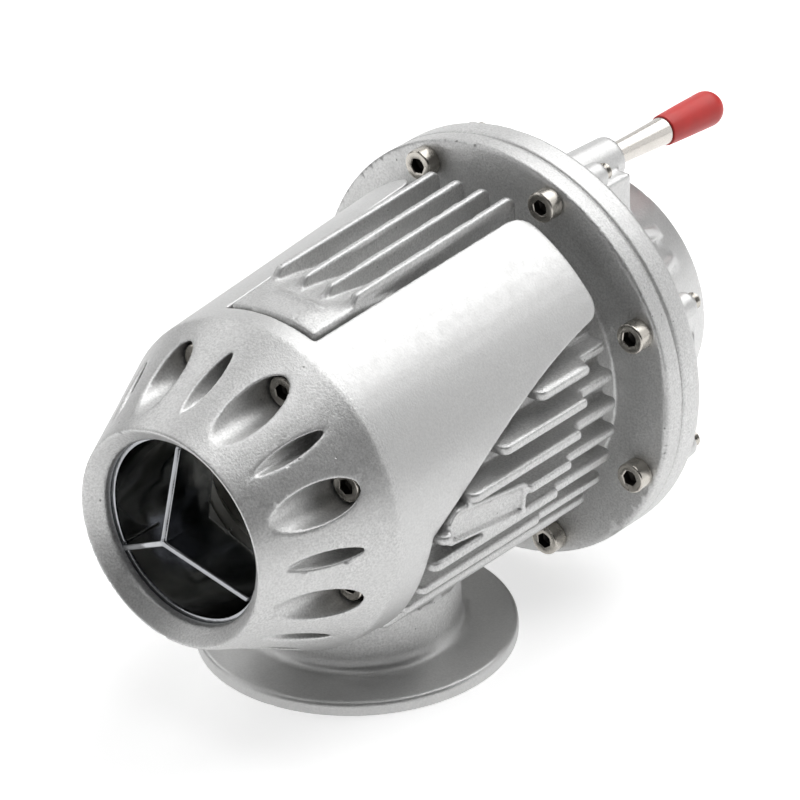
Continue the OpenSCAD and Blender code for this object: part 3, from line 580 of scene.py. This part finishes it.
def nipple():
    lip, edge, bore_front = 0.15, 0.2, PRESS_FRONT + 0.05
    flare_length = FLARE_END - 2 * lip - BOSS_REAR
    rings = [(BORE_R, bore_front), (ROOT_R, PRESS_FRONT), (ROOT_R, BOSS_REAR)]
    for t in (0.2, 0.4, 0.6, 0.8, 1.0):
        rings.append((ROOT_R + (FLARE_R - ROOT_R) * t ** 1.3, BOSS_REAR + flare_length * t))
    rings += arc(FLARE_R - lip, FLARE_END - lip, lip, 0, 90, 4)
    rings += [(TUBE_R, FLARE_END), (TUBE_R, FLARE_END + lip), (TUBE_R, TUBE_END - 0.45)]
    rings += arc(TUBE_R - edge, TUBE_END - edge, edge, 0, 90, 4)
    rings += [(BORE_R + lip, TUBE_END), (BORE_R, TUBE_END - lip), (BORE_R, bore_front)]
    points, quads = lathe(rings, TUBE_AROUND)
    mesh = mesh_of("nipple_turned", at_nipple(points), quads)
    obj = placed(mesh, "hose_nipple", "housing")
    obj.modifiers.new("flat faces", "WEIGHTED_NORMAL")


def cap():
    lip = (CAP_MOUTH_R - CAP_BORE_R) / 2
    side_front, side_rear = CAP_FRONT + 0.3, CAP_REAR - CAP_R
    rings = [(0.0, CAP_BOTTOM), (CAP_BORE_R, CAP_BOTTOM), (CAP_BORE_R, CAP_FRONT + 0.25)]
    rings += arc(CAP_BORE_R + lip, CAP_FRONT + lip, lip, -180, 0, 8)
    for t in np.linspace(0.05, 0.97, 14):
        radius = CAP_MOUTH_R + (CAP_R - CAP_MOUTH_R) * t ** 0.8
        rings.append((radius, side_front + (side_rear - side_front) * t))
    rings += arc(0.0, side_rear, CAP_R, 0, 90, 16)
    points, quads = lathe(rings, TUBE_AROUND)
    mesh = mesh_of("cap_moulded", at_nipple(points), quads)
    placed(mesh, "nipple_cap", "cap")


nipple()
cap()


# Other CAD nodes keep their own meshes, and the metal ones have their edges broken

for name in ("seat_ring", "secondary_valve", "primary_valve", "shaft_collar", "valve_shaft",
             "guide_bush", "front_plate", "rear_plate", "shaft_washer", "shaft_nut"):
    edge = nodes[name].modifiers.new("edge", "BEVEL")
    edge.width = EDGE_WIDTH * MM
    edge.segments = EDGE_SEGMENTS
    edge.limit_method = "ANGLE"
    edge.angle_limit = math.radians(EDGE_ANGLE)


# Stage, light and camera

def floor_material():
    """Pale matte floor that glows in what the camera, metal and clear surfaces see of it."""
    mat, tree = empty_material("floor")
    out = tree.nodes.new("ShaderNodeOutputMaterial")
    both = tree.nodes.new("ShaderNodeAddShader")
    matte = tree.nodes.new("ShaderNodeBsdfDiffuse")
    matte.inputs["Color"].default_value = (FLOOR_GREY, FLOOR_GREY, FLOOR_GREY, 1)
    glow = tree.nodes.new("ShaderNodeEmission")
    path = tree.nodes.new("ShaderNodeLightPath")
    seen = path.outputs["Is Camera Ray"]
    for kind in ("Is Glossy Ray", "Is Transmission Ray"):
        either = tree.nodes.new("ShaderNodeMath")
        either.operation = "MAXIMUM"
        tree.links.new(seen, either.inputs[0])
        tree.links.new(path.outputs[kind], either.inputs[1])
        seen = either.outputs[0]
    level = tree.nodes.new("ShaderNodeMath")
    level.operation = "MULTIPLY"
    level.inputs[1].default_value = FLOOR_GLOW
    tree.links.new(seen, level.inputs[0])
    tree.links.new(level.outputs[0], glow.inputs["Strength"])
    tree.links.new(matte.outputs[0], both.inputs[0])
    tree.links.new(glow.outputs[0], both.inputs[1])
    tree.links.new(both.outputs[0], out.inputs[0])
    return mat


def floor():
    mesh = bpy.data.meshes.new("floor")
    corners = [(-1, -1), (1, -1), (1, 1), (-1, 1)]
    mesh.from_pydata([(FLOOR_SIZE * x, FLOOR_SIZE * y, 0) for x, y in corners], [], [range(4)])
    mesh.materials.append(floor_material())
    obj = linked("floor", mesh)


def studio():
    world = bpy.data.worlds.new("studio")
    bpy.context.scene.world = world
    world.use_nodes = True
    surround = world.node_tree.nodes["Background"]
    surround.inputs["Color"].default_value = (1, 1, 1, 1)
    surround.inputs["Strength"].default_value = WORLD_LEVEL


def softbox(name, place, size, power):
    """A lamp of a width and a height that looks at the middle of the valve."""
    lamp = bpy.data.lights.new(name, "AREA")
    lamp.shape = "RECTANGLE"
    lamp.size, lamp.size_y = size
    lamp.energy = power
    obj = linked(name, lamp)
    obj.location = place
    aim = Vector((0, 0, AXIS_Z * MM))
    obj.rotation_euler = (aim - Vector(place)).to_track_quat("-Z", "Y").to_euler()


def camera():
    turn, tilt = math.radians(CAMERA_TURN), math.radians(CAMERA_TILT)
    ahead = math.cos(tilt)
    back = Vector((math.sin(turn) * ahead, -math.cos(turn) * ahead, math.sin(tilt)))
    level = Vector((math.cos(turn), math.sin(turn), 0))
    upright = back.cross(level)
    roll = math.radians(CAMERA_ROLL)
    right = math.cos(roll) * level + math.sin(roll) * upright
    up = math.cos(roll) * upright - math.sin(roll) * level
    data = bpy.data.cameras.new("camera")
    data.sensor_width = SENSOR_WIDTH
    data.lens = LENS_PIXELS * SENSOR_WIDTH / PHOTO_PIXELS
    data.clip_end = CLIP_END
    obj = linked("camera", data)
    place = Vector(CAMERA_AIM) * MM + back * CAMERA_DISTANCE * MM
    axes = Matrix((right, up, back)).transposed().to_4x4()
    obj.matrix_world = Matrix.Translation(place) @ axes
    bpy.context.scene.camera = obj


floor()
studio()
for lamp in LAMPS:
    softbox(*lamp)
camera()
bpy.context.scene.view_settings.view_transform = "Standard"
